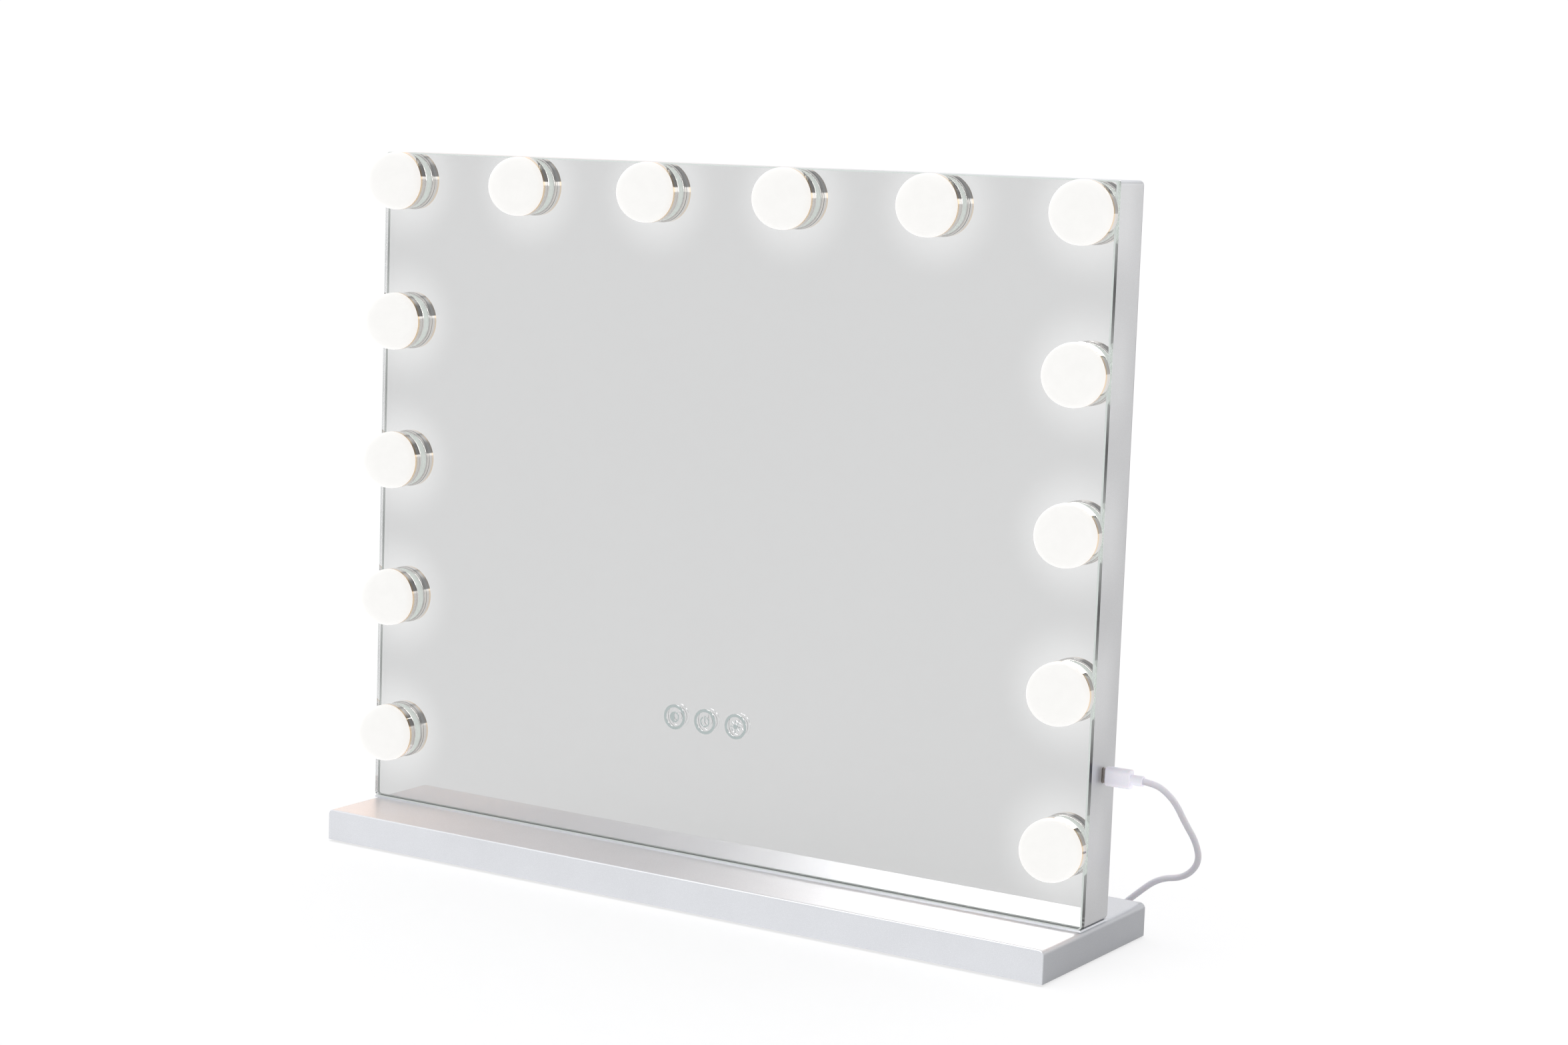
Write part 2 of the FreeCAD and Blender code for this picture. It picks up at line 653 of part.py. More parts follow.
def make_usb_plug_body():
    """Moulded grip with a round sleeve where the cord leaves it."""
    x0 = HALF_W + PLUG_GAP
    x1 = x0 + PLUG_BODY_L
    body = box(x0, x1, PORT_Y - 3.2, PORT_Y + 3.2, PORT_Z - 5.4, PORT_Z + 5.4)
    body = body.makeFillet(2.4, edges_where(body, lambda b: b.YLength < 1e-6 and b.ZLength < 1e-6))
    body = body.makeFillet(0.8, edges_where(body, lambda b: b.XLength < 1e-6))
    sleeve = rod_x(x1 - 1, x1 + PLUG_RELIEF_L, PORT_Y, PORT_Z, PLUG_SLEEVE_R)
    rim = edges_where(sleeve, lambda b: b.XMin > x1 + PLUG_RELIEF_L - 1e-3)
    return body.fuse(sleeve.makeFillet(0.6, rim))


def make_cord_coil():
    """Outer shape of nine turns: two layers of four, and one turn on top."""
    half = COIL_COLUMNS * COIL_PITCH / 2
    x, y = COIL_CENTRE
    layers = 2 * COIL_PITCH
    low = rod_z(x, y, 0, layers, COIL_MEAN_R + half)
    low = low.cut(rod_z(x, y, 0, layers, COIL_MEAN_R - half))
    rims = edges_where(low, lambda b: b.ZLength < 1e-6)
    low = low.makeFillet(CORD_R * 0.9, rims)
    middle = COIL_TOP_TURN
    top = rod_z(x, y, layers - 1, layers + COIL_PITCH, middle + CORD_R)
    top = top.cut(rod_z(x, y, layers - 1, layers + COIL_PITCH, middle - CORD_R))
    crown = edges_where(top, lambda b: b.ZLength < 1e-6 and b.ZMin > layers)
    return low.fuse(top.makeFillet(CORD_R * 0.9, crown))


def make_coil_tie():
    """Strap round the bundle on the side away from the stand."""
    x, y = COIL_CENTRE
    half = COIL_COLUMNS * COIL_PITCH / 2
    y0 = y + COIL_MEAN_R - half - 0.9
    y1 = y + COIL_MEAN_R + half + 0.9
    z1 = 3 * COIL_PITCH + 0.9
    band = box(x - 4.5, x + 4.5, y0, y1, 0, z1)
    band = band.makeFillet(1.8, edges_where(band, lambda b: b.YLength < 1e-6 and b.ZLength < 1e-6
                                            and b.ZMin > 1))
    window = box(x - 5, x + 5, y0 + 0.9, y1 - 0.9, 0.9, z1 - 0.9)
    return band.cut(window).cut(make_cord_coil())


def make_usb_a_plug():
    """Plug at the far end, flat on the table: its grip and its steel shell."""
    x1, y, z = TAIL_ROUTE[-1]
    x0 = x1 - USB_A_RELIEF_L
    half_w = USB_A_BODY_W / 2
    relief = Part.makeCone(CORD_R + 0.4, 3.0, USB_A_RELIEF_L, V(x1, y, z), -X_AXIS)
    grip = box(x0 - USB_A_BODY_L, x0, y - half_w, y + half_w, z - USB_A_BODY_H / 2,
               z + USB_A_BODY_H / 2)
    grip = grip.makeFillet(1.6, grip.Edges)
    tip = x0 - USB_A_BODY_L
    shell = box(tip - USB_A_SHELL_L, tip, y - USB_A_SHELL_W / 2, y + USB_A_SHELL_W / 2,
                z - USB_A_SHELL_H / 2, z + USB_A_SHELL_H / 2)
    shell = shell.makeFillet(0.4, edges_where(shell, lambda b: b.XLength > 5))
    mouth = box(tip - USB_A_SHELL_L - 1, tip - 1, y - USB_A_SHELL_W / 2 + 0.3,
                y + USB_A_SHELL_W / 2 - 0.3, z - 0.3, z + USB_A_SHELL_H / 2 - 0.3)
    return grip.fuse(relief), shell.cut(mouth)


def report_tube(name, solid, length, radii):
    section = math.pi * CORD_R ** 2
    print(name, "length", round(length, 1), "volume / section",
          round(solid.Volume / section, 1), "radii", [round(r, 1) for r in radii])


def make_cord():
    main, main_length, main_radii = tube(CORD_ROUTE, CORD_R)
    tail, tail_length, tail_radii = tube(TAIL_ROUTE, CORD_R)
    report_tube("lead", main, main_length, main_radii)
    report_tube("tail", tail, tail_length, tail_radii)
    turns = [COIL_OUTER_TURN - i * COIL_PITCH for i in range(COIL_COLUMNS)]
    coil_length = 2 * math.pi * (2 * sum(turns) + COIL_TOP_TURN)
    print("whole cord", round(main_length + tail_length + coil_length, 1))
    return Part.makeCompound([main, tail])


def main():
    os.makedirs("parts", exist_ok=True)
    icons = make_touch_icons()
    save("touch_icons", icons)
    save("mirror_glass", make_mirror_glass(icons))
    for i, (x, z) in enumerate(BULBS, start=1):
        save("dome_%02d" % i, make_dome(x, z))
        save("collar_%02d" % i, make_collar(x, z))
    save("bulb_gaskets", make_gaskets())
    save("bulb_led_boards", make_led_boards())
    save("bulb_led_chips", make_led_chips())
    save("bulb_nuts", make_bulb_nuts())
    save("rear_case", make_rear_case())
    save("support_frame", make_support_frame())
    save("mounting_tape", make_mounting_tape())
    save("frame_screws", make_frame_screws())
    save("touch_board", make_touch_board())
    save("touch_wire", make_touch_wire())
    save("driver_board", make_driver_board())
    save("driver_standoffs", make_driver_standoffs())
    save("driver_components", make_driver_components())
    save("usb_c_inlet", make_usb_c_inlet())
    save("led_wire", make_led_wire())
    save("case_rail", make_case_rail())
    save("base_shell", make_base_shell())
    save("base_plate", make_base_plate())
    save("base_screws", make_base_screws())
    save("rubber_feet", make_rubber_feet())
    save("stand_spacers", make_stand_spacers())
    save("stand_bolts", make_stand_bolts())
    save("usb_plug_shell", make_usb_plug_shell())
    save("usb_plug_body", make_usb_plug_body())
    save("cord_tube", make_cord())
    save("cord_coil", make_cord_coil())
    save("coil_tie", make_coil_tie())
    grip, shell = make_usb_a_plug()
    save("usb_a_plug_body", grip)
    save("usb_a_plug_shell", shell)


main()
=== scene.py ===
import json
import math

import bpy
from mathutils import Matrix, Vector


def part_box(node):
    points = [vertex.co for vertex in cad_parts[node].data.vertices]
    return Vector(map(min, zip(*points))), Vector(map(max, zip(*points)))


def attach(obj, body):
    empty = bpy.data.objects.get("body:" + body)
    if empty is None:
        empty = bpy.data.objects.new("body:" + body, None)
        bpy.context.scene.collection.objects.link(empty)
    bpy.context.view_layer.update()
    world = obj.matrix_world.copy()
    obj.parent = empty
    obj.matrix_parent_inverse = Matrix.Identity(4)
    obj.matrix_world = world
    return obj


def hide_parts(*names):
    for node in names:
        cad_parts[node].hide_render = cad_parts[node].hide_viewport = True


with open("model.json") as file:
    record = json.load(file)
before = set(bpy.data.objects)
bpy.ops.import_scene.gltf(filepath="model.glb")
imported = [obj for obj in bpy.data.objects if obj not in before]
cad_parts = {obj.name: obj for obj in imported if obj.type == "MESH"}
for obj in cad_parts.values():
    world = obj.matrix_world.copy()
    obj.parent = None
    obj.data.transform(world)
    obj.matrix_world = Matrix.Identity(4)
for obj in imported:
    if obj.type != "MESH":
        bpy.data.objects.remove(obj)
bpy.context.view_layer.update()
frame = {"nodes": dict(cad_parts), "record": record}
nodes = frame["nodes"]

# ---- places taken from the frame (metres) ------------------------------------------------
GLASS_LOW, GLASS_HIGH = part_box("mirror_glass")
CASE_BACK_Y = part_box("rear_case")[1].y
BASE_LOW, BASE_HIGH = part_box("base_shell")
DOME_LOW, DOME_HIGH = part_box("dome_01")
COLLAR_FRONT_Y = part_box("collar_01")[0].y

# the bulbs' grid: six along the top, and four more below each end of that row
BULB_TOP_Z = (DOME_LOW.z + DOME_HIGH.z) / 2
BULB_X = -(DOME_LOW.x + DOME_HIGH.x) / 2
BULB_PITCH_X = 2 * BULB_X / 5
BULB_PITCH_Z = 0.087
BULB_LOW_Z = BULB_TOP_Z - 4 * BULB_PITCH_Z


# ---- shader helpers ----------------------------------------------------------------------
def add(tree, kind, inputs=None, **settings):
    """New shader node.  Inputs are values or the sockets that feed them."""
    node = tree.nodes.new("ShaderNode" + kind)
    for name, value in settings.items():
        setattr(node, name, value)
    for key, value in (inputs or {}).items():
        if isinstance(value, bpy.types.NodeSocket):
            tree.links.new(value, node.inputs[key])
        else:
            node.inputs[key].default_value = value
    return node


def maths(tree, operation, a, b=0.0, c=0.0):
    return add(tree, "Math", {0: a, 1: b, 2: c}, operation=operation).outputs[0]


def blend_colours(tree, factor, a, b):
    node = add(tree, "Mix", {0: factor, 6: a, 7: b}, data_type="RGBA")
    return node.outputs[2]


def one_minus(tree, value):
    return maths(tree, "SUBTRACT", 1.0, value)


def weighted(tree, a, b, share):
    """Sum of two values, the first times its share of 1 and the second times the rest."""
    return maths(tree, "ADD", maths(tree, "MULTIPLY", a, share),
                 maths(tree, "MULTIPLY", b, 1 - share))


def length(tree, a, b):
    """Length of a line that goes a one way and b across it."""
    squares = maths(tree, "ADD", maths(tree, "MULTIPLY", a, a), maths(tree, "MULTIPLY", b, b))
    return maths(tree, "SQRT", squares)


def scaled(tree, value, low, high, to_low, to_high):
    """Value mapped from one range to another, held at both ends, with a smooth step."""
    node = add(tree, "MapRange", {0: value, 1: low, 2: high, 3: to_low, 4: to_high},
               interpolation_type="SMOOTHSTEP")
    return node.outputs[0]


def place(tree):
    """The object's own coordinates, in metres."""
    return add(tree, "TexCoord").outputs["Object"]


def along_axis(tree, vector, axis):
    return add(tree, "SeparateXYZ", {0: vector}).outputs[axis]


def noise(tree, scale, detail=3.0, roughness=0.55, stretch=(1, 1, 1)):
    """Noise over the object's own coordinates; scale is features per metre."""
    placed = add(tree, "Mapping", {"Vector": place(tree), "Scale": stretch}).outputs[0]
    texture = add(tree, "TexNoise", {"Vector": placed, "Scale": scale, "Detail": detail,
                                     "Roughness": roughness})
    return texture.outputs["Fac"]


def new_material(name, **values):
    """Principled material; values go straight to its sockets."""
    material = bpy.data.materials.new(name)
    material.use_nodes = True
    tree = material.node_tree
    surface = tree.nodes["Principled BSDF"]
    for key, value in values.items():
        surface.inputs[key.replace("_", " ")].default_value = value
    return material, tree, surface


def feed(tree, surface, name, socket):
    tree.links.new(socket, surface.inputs[name])


def feed_bump(tree, surface, height, distance, strength=1.0):
    bump = add(tree, "Bump", {"Height": height, "Distance": distance, "Strength": strength})
    feed(tree, surface, "Normal", bump.outputs[0])


def grained(name, light, dark, scale, roughness, bump, **values):
    """Moulded or painted surface: colour, roughness and height vary with two noises."""
    material, tree, surface = new_material(name, **values)
    fine = noise(tree, scale)
    broad = noise(tree, scale / 40, 2.0)
    mixed = weighted(tree, fine, broad, 0.6)
    tone = scaled(tree, mixed, 0.35, 0.65, 0.0, 1.0)
    feed(tree, surface, "Base Color", blend_colours(tree, tone, dark, light))
    spread = scaled(tree, mixed, 0.3, 0.7, roughness * 1.15, roughness * 0.88)
    feed(tree, surface, "Roughness", spread)
    feed_bump(tree, surface, fine, bump)
    return material


def grey(value):
    return (value, value, value, 1)


# ---- materials ---------------------------------------------------------------------------
# depth of the relief on each kind of surface, in metres
BRUSHED_RELIEF = 0.00002
SMOOTH_RELIEF = 0.00003
PAINT_RELIEF = 0.00004
PLATE_RELIEF = 0.00005
RUBBER_RELIEF = 0.00006
FOAM_RELIEF = 0.00015
WEAVE_RELIEF = 0.0002

# where the painted warm reflection on a collar's lip and the warmth of a dome's skirt begin and
# end
LIP_FROM_Y = COLLAR_FRONT_Y + 0.0003
LIP_TO_Y = COLLAR_FRONT_Y + 0.0028
SKIRT_FROM_Y = DOME_LOW.y + 0.012
SKIRT_TO_Y = DOME_HIGH.y - 0.002

# soft light round each lit bulb: full and gone at these distances from its middle
BLOOM_COLOUR = (1.0, 1.0, 0.995, 1)
BLOOM_STRENGTH = 0.14
BLOOM_FULL = 0.012
BLOOM_GONE = 0.044
# and on the case, its share, and where that fades out behind the glass
CASE_BLOOM_SHARE = 0.6
CASE_BLOOM_FULL_Y = GLASS_HIGH.y + 0.008
CASE_BLOOM_GONE_Y = GLASS_HIGH.y + 0.030


def silver_paint():
    """Satin silver paint: tiny metal flakes under a thin lacquer."""
    material, tree, surface = new_material("silver_paint", Metallic=0.6, Coat_Weight=0.12,
                                           Coat_Roughness=0.3)
    flakes = add(tree, "TexVoronoi", {"Vector": place(tree), "Scale": 2600.0})
    fine = noise(tree, 1700.0, 2.0)
    broad = noise(tree, 22.0, 2.0)
    glint = scaled(tree, flakes.outputs["Distance"], 0.05, 0.55, 1.0, 0.0)
    tone = weighted(tree, glint, broad, 0.55)
    colour = blend_colours(tree, tone, (0.655, 0.665, 0.69, 1), (0.81, 0.825, 0.855, 1))
    feed(tree, surface, "Base Color", colour)
    feed(tree, surface, "Roughness", scaled(tree, fine, 0.3, 0.7, 0.42, 0.32))
    feed_bump(tree, surface, fine, PAINT_RELIEF, 0.6)
    behind = scaled(tree, along_axis(tree, place(tree), "Y"),
                    CASE_BLOOM_FULL_Y, CASE_BLOOM_GONE_Y, CASE_BLOOM_SHARE, 0.0)
    surface.inputs["Emission Color"].default_value = BLOOM_COLOUR
    feed(tree, surface, "Emission Strength", maths(tree, "MULTIPLY", bulb_bloom(tree), behind))
    return material


def clear_glass():
    """Float glass: clear faces, polished sides and a ground grey-green bevel, made pale by a
    painted glow.
    """
    material, tree, surface = new_material("clear_glass", IOR=1.52)
    normal = add(tree, "NewGeometry").outputs["Normal"]
    facing = maths(tree, "ABSOLUTE", along_axis(tree, normal, "Y"))
    bevel = maths(tree, "MULTIPLY", scaled(tree, facing, 0.3, 0.6, 0.0, 1.0),
                  scaled(tree, facing, 0.9, 0.99, 1.0, 0.0))
    side = scaled(tree, facing, 0.1, 0.6, 1.0, 0.0)
    grind = noise(tree, 900.0, 2.0, stretch=(1, 0.2, 1))
    pale = blend_colours(tree, grind, (0.15, 0.17, 0.16, 1), (0.23, 0.25, 0.24, 1))
    clear = blend_colours(tree, side, (0.985, 0.99, 0.987, 1), (0.85, 0.93, 0.88, 1))
    feed(tree, surface, "Base Color", blend_colours(tree, bevel, clear, pale))
    feed(tree, surface, "Transmission Weight", one_minus(tree, bevel))
    ground = maths(tree, "MULTIPLY", bevel, scaled(tree, grind, 0.3, 0.7, 0.35, 0.5))
    polished = maths(tree, "MULTIPLY", side, scaled(tree, grind, 0.3, 0.7, 0.005, 0.012))
    feed(tree, surface, "Roughness", maths(tree, "ADD", ground, polished))
    # painted glow: the ground bevel shines a pale light of its own, standing in for the light
    # it catches
    surface.inputs["Emission Color"].default_value = (0.95, 1.0, 0.97, 1)
    feed(tree, surface, "Emission Strength", maths(tree, "MULTIPLY", bevel, 0.42))
    return material


def bulb_distance(tree):
    """Distance in the plane of the glass to the nearest bulb, as a socket."""
    x = along_axis(tree, place(tree), "X")
    z = along_axis(tree, place(tree), "Z")
    half_x = BULB_PITCH_X / 2
    along = maths(tree, "WRAP", maths(tree, "ADD", x, half_x), half_x, -half_x)
    above = maths(tree, "SUBTRACT", z, BULB_TOP_Z)
    to_row = length(tree, along, above)
    half_z = BULB_PITCH_Z / 2
    out = maths(tree, "SUBTRACT", maths(tree, "ABSOLUTE", x), BULB_X)
    rise = maths(tree, "SUBTRACT", z, BULB_LOW_Z)
    to_nearest = maths(tree, "WRAP", rise, half_z, -half_z)
    # below the lowest bulb there is no next one to wrap to
    below = maths(tree, "MINIMUM", rise, to_nearest)
    between = maths(tree, "GREATER_THAN", rise, 0.0)
    climb = maths(tree, "ADD", maths(tree, "MULTIPLY", between, to_nearest),
                  maths(tree, "MULTIPLY", one_minus(tree, between), below))
    to_side = length(tree, out, climb)
    return maths(tree, "MINIMUM", to_row, to_side)


def bulb_bloom(tree):
    """Soft light that the lit bulbs put round themselves, as a socket."""
    return scaled(tree, bulb_distance(tree), BLOOM_FULL, BLOOM_GONE, BLOOM_STRENGTH, 0.0)


def silvering():
    """The reflecting coat, with the soft bloom that the lit bulbs put round themselves."""
    material, tree, surface = new_material("silvering", Metallic=1.0, Roughness=0.0)
    cloud = noise(tree, 5.0, 2.0)
    feed(tree, surface, "Base Color",
         blend_colours(tree, cloud, grey(0.652), grey(0.664)))
    surface.inputs["Emission Color"].default_value = BLOOM_COLOUR
    feed(tree, surface, "Emission Strength", bulb_bloom(tree))
    return material


def chrome():
    """Polished plating, with a painted warm reflection of the lit dome on the lip that it
    touches.
    """
    material, tree, surface = new_material("chrome", Metallic=1.0)
    # painted reflection: the lip is coloured warm gold, standing in for the lit dome's light on
    # it
    lip = scaled(tree, along_axis(tree, place(tree), "Y"), LIP_FROM_Y, LIP_TO_Y, 1.0, 0.0)
    colour = blend_colours(tree, lip, (0.70, 0.675, 0.65, 1), (0.85, 0.66, 0.45, 1))
    feed(tree, surface, "Base Color", colour)
    smear = noise(tree, 260.0, 3.0)
    feed(tree, surface, "Roughness", scaled(tree, smear, 0.35, 0.75, 0.02, 0.09))
    feed_bump(tree, surface, noise(tree, 120.0, 1.0), SMOOTH_RELIEF, 0.5)
    return material


def opal():
    """Lit opal cap: even light, a shade warmer and dimmer towards its skirt."""
    material, tree, surface = new_material("opal", Roughness=0.4, Specular_IOR_Level=0.12)
    skirt = scaled(tree, along_axis(tree, place(tree), "Y"), SKIRT_FROM_Y, SKIRT_TO_Y,
                   0.0, 1.0)
    cloud = noise(tree, 160.0, 2.0)
    glow = blend_colours(tree, skirt, (1.0, 0.991, 0.972, 1), (1.0, 0.975, 0.94, 1))
    feed(tree, surface, "Emission Color", glow)
    strength = maths(tree, "SUBTRACT", scaled(tree, cloud, 0.3, 0.7, 0.925, 0.94),
                     maths(tree, "MULTIPLY", skirt, 0.03))
    feed(tree, surface, "Emission Strength", strength)
    surface.inputs["Base Color"].default_value = (0.015, 0.015, 0.015, 1)
    return material


def frosted():
    """Etched windows for the touch symbols."""
    material, tree, surface = new_material("frosted", Specular_IOR_Level=0.25)
    grain = noise(tree, 3000.0, 2.0)
    feed(tree, surface, "Base Color",
         blend_colours(tree, grain, (0.45, 0.51, 0.50, 1), (0.57, 0.63, 0.62, 1)))
    feed(tree, surface, "Roughness", scaled(tree, grain, 0.3, 0.7, 0.5, 0.7))
    feed_bump(tree, surface, grain, SMOOTH_RELIEF, 0.6)
    return material


def brushed(name, light, dark, stretch, roughness=0.28):
    """Metal with fine lines along one axis."""
    material, tree, surface = new_material(name, Metallic=1.0)
    lines = noise(tree, 900.0, 3.0, stretch=stretch)
    feed(tree, surface, "Base Color", blend_colours(tree, lines, dark, light))
    feed(tree, surface, "Roughness",
         scaled(tree, lines, 0.3, 0.7, roughness * 0.8, roughness * 1.25))
    feed_bump(tree, surface, lines, BRUSHED_RELIEF, 0.5)
    return material


def woven_strap():
    """Hook strap: a fine over-and-under weave."""
    material, tree, surface = new_material("tie_strap", Roughness=0.85, Sheen_Weight=0.4)
    threads = {"Vector": place(tree), "Scale": 380.0, "Distortion": 0.4}
    across = add(tree, "TexWave", threads, bands_direction="X")
    along = add(tree, "TexWave", threads, bands_direction="DIAGONAL")
    weave = maths(tree, "MULTIPLY", across.outputs["Fac"], along.outputs["Fac"])
    feed(tree, surface, "Base Color", blend_colours(tree, weave, grey(0.02), grey(0.09)))
    feed_bump(tree, surface, weave, WEAVE_RELIEF)
    return material


def circuit_board(name, light, dark):
    """Solder mask with faint tracks under it."""
    material, tree, surface = new_material(name, Roughness=0.35, Coat_Weight=0.4)
    tracks = add(tree, "TexBrick", {"Vector": place(tree), "Scale": 180.0,
                                    "Mortar Size": 0.04, "Color1": dark, "Color2": dark,
                                    "Mortar": light})
    feed(tree, surface, "Base Color", tracks.outputs["Color"])
    feed_bump(tree, surface, tracks.outputs["Fac"], SMOOTH_RELIEF)
    return material


def led_phosphor():
    """Yellow coat of the LEDs, faintly lit."""
    material, tree, surface = new_material("led_phosphor", Roughness=0.3)
    grain = noise(tree, 1500.0, 1.0)
    tone = blend_colours(tree, grain, (0.95, 0.78, 0.25, 1), (1.0, 0.9, 0.5, 1))
    feed(tree, surface, "Base Color", tone)
    feed(tree, surface, "Emission Color", tone)
    surface.inputs["Emission Strength"].default_value = 1.0
    return material


def lit_silicone():
    """Clear washer that glows with the bulb above it."""
    material = grained("clear_silicone", (0.80, 0.83, 0.81, 1), (0.72, 0.75, 0.73, 1), 900,
                       0.4, SMOOTH_RELIEF, Transmission_Weight=0.35, Emission_Strength=0.28)
    surface = material.node_tree.nodes["Principled BSDF"]
    surface.inputs["Emission Color"].default_value = (0.97, 1.0, 0.97, 1)
    return material


def make_materials():
    """Material for each slot of the record."""
    milky = dict(Subsurface_Weight=0.15, Subsurface_Scale=0.002, Specular_IOR_Level=0.4)
    return {
        "mirror_glass": clear_glass(),
        "frosted_symbols": frosted(),
        "opal": opal(),
        "chrome": chrome(),
        "black_rubber": grained("black_rubber", grey(0.045), grey(0.02), 900, 0.75,
                                RUBBER_RELIEF),
        "clear_silicone": lit_silicone(),
        "grey_rubber": grained("grey_rubber", grey(0.46), grey(0.38), 900, 0.7,
                               RUBBER_RELIEF),
        "white_board": circuit_board("white_board", grey(0.72), grey(0.84)),
        "led_yellow": led_phosphor(),
        "zinc_steel": brushed("zinc_steel", (0.75, 0.76, 0.78, 1), (0.55, 0.56, 0.58, 1),
                              (1, 8, 1)),
        "silver_paint": silver_paint(),
        "plate_paint": grained("plate_paint", grey(0.42), grey(0.35), 1200, 0.55, PLATE_RELIEF,
                               Metallic=0.3),
        "frame_plastic": grained("frame_plastic", grey(0.82), grey(0.76), 1100, 0.5,
                                 PAINT_RELIEF),
        "foam_tape": grained("foam_tape", grey(0.8), grey(0.68), 2200, 0.9, FOAM_RELIEF),
        "green_board": circuit_board("green_board", (0.10, 0.36, 0.18, 1),
                                     (0.03, 0.20, 0.09, 1)),
        "wire_sleeve": grained("wire_sleeve", grey(0.85), grey(0.75), 800, 0.45,
                               SMOOTH_RELIEF),
        "nylon": grained("nylon", (0.85, 0.84, 0.78, 1), (0.78, 0.77, 0.71, 1), 700, 0.45,
                         SMOOTH_RELIEF),
        "component_black": grained("component_black", grey(0.05), grey(0.025), 1500, 0.5,
                                   SMOOTH_RELIEF),
        "plug_steel": brushed("plug_steel", (0.46, 0.42, 0.39, 1), (0.30, 0.27, 0.25, 1),
                              (8, 1, 1)),
        "white_moulding": grained("white_moulding", (0.92, 0.905, 0.97, 1),
                                  (0.88, 0.865, 0.94, 1), 1400, 0.42, SMOOTH_RELIEF,
                                  **milky),
        "white_cord": grained("white_cord", (0.93, 0.92, 0.98, 1), (0.89, 0.88, 0.94, 1),
                              1000, 0.5, SMOOTH_RELIEF, **milky),
        "tie_strap": woven_strap(),
    }


def dress(materials):
    """Gives every node of the frame the material of its slot."""
    for row in frame["record"]["subparts"]:
        mesh = nodes[row["node"]].data
        mesh.materials.clear()
        mesh.materials.append(materials[row["material_slot"]])


# ---- camera, light and floor -------------------------------------------------------------
CAMERA_AZIMUTH = 33.7
CAMERA_ELEVATION = 7.4
CAMERA_ROLL = 1.75
CAMERA_DISTANCE = 1.765
CAMERA_LENS = 68.4
CAMERA_SHIFT = (0.0764, -0.0082)
CAMERA_AIM = Vector((-0.0334, GLASS_LOW.y, 0.2274))

# radiance of the sky, and where its right side begins and is full
SKY_LEFT = (1.03, 1.035, 1.05, 1)
SKY_RIGHT = (0.11, 0.105, 0.10, 1)
SKY_DARK = (0.22, 0.225, 0.235, 1)
RIGHT_SIDE_X = (-0.15, 0.9)
# an edge in the sky is its place along an axis of the direction, and its softness
HORIZON_EDGE_Z = (0.28, 0.07)
# the edges of the dark wall in front of the mirror
WALL_BOTTOM_Z = (0.20, 0.012)
WALL_TOP_Z = (0.60, 0.06)
WALL_LEFT_X = (-0.30, 0.06)
WALL_RIGHT_X = (0.62, 0.03)
# each: direction, full within, gone beyond (degrees), radiance
SKY_PATCHES = [
    ((0.0, 0.0, 1.0), 25, 60, (1.0, 1.0, 1.02, 1)),
    ((-0.70, -0.62, 0.32), 8, 26, (1.12, 1.12, 1.14, 1)),
    ((-0.64, 0.74, 0.31), 6, 13, (1.3, 1.05, 0.9, 1)),
    ((0.60, 0.75, 0.22), 8, 30, (0.5, 0.5, 0.5, 1)),
    ((0.52, -0.83, 0.14), 5.5, 7.5, (1.9, 1.9, 1.9, 1)),
]

BULB_GLOW_POWER = 0.22
BULB_GLOW_COLOUR = (1.0, 0.55, 0.27)
# how far in front of its dome's back edge each glow is
BULB_GLOW_DEPTH = 0.002

# turns of a lamp panel, which shines down until it is turned
TOWARDS_BACK = (90, 0, 0)
TOWARDS_LEFT = (90, 0, 90)
UPWARDS = (180, 0, 0)

FLOOR_REACH = 30.0
FLOOR_GLOW = 0.67
# the floor's glow doesn't reach itself or these, which low panels light in its place
OUT_OF_FLOOR_GLOW = ("base_shell", "rear_case", "usb_cord", "floor")


def make_camera():
    """Camera that looks at CAMERA_AIM from its azimuth and elevation, then rolls."""
    data = bpy.data.cameras.new("camera")
    data.sensor_fit = "HORIZONTAL"
    data.sensor_width = 36.0
    data.lens = CAMERA_LENS
    data.shift_x, data.shift_y = CAMERA_SHIFT
    data.clip_end = 100.0
    camera = bpy.data.objects.new("camera", data)
    bpy.context.scene.collection.objects.link(camera)
    azimuth = math.radians(CAMERA_AZIMUTH)
    elevation = math.radians(CAMERA_ELEVATION)
    back = Vector((math.sin(azimuth) * math.cos(elevation),
                   -math.cos(azimuth) * math.cos(elevation), math.sin(elevation)))
    camera.location = CAMERA_AIM + back * CAMERA_DISTANCE
    level = (-back).to_track_quat("-Z", "Y").to_matrix()
    roll = Matrix.Rotation(math.radians(CAMERA_ROLL), 3, "Z")
    camera.rotation_euler = (level @ roll).to_euler()
    bpy.context.scene.camera = camera


def patch(tree, direction, centre, inner, outer):
    """1 within inner degrees of a direction in the sky, and 0 beyond outer degrees."""
    unit = Vector(centre).normalized()
    cosine = add(tree, "VectorMath", {0: direction, 1: unit}, operation="DOT_PRODUCT")
    return scaled(tree, cosine.outputs["Value"], math.cos(math.radians(outer)),
                  math.cos(math.radians(inner)), 0.0, 1.0)


def edge(tree, value, at, soft):
    """0 below a place along an axis and 1 above it, with a soft step."""
    return scaled(tree, value, at - soft, at + soft, 0.0, 1.0)


def dark_wall(tree, direction):
    """Share of the dark wall in front of the mirror, with a hard lower edge."""
    x = along_axis(tree, direction, "X")
    z = along_axis(tree, direction, "Z")
    above = edge(tree, z, *WALL_BOTTOM_Z)
    below_top = one_minus(tree, edge(tree, z, *WALL_TOP_Z))
    right_of = edge(tree, x, *WALL_LEFT_X)
    left_of = one_minus(tree, edge(tree, x, *WALL_RIGHT_X))
    in_front = maths(tree, "LESS_THAN", along_axis(tree, direction, "Y"), 0.0)
    across = maths(tree, "MULTIPLY", right_of, left_of)
    upright = maths(tree, "MULTIPLY", above, below_top)
    return maths(tree, "MULTIPLY", in_front, maths(tree, "MULTIPLY", across, upright))


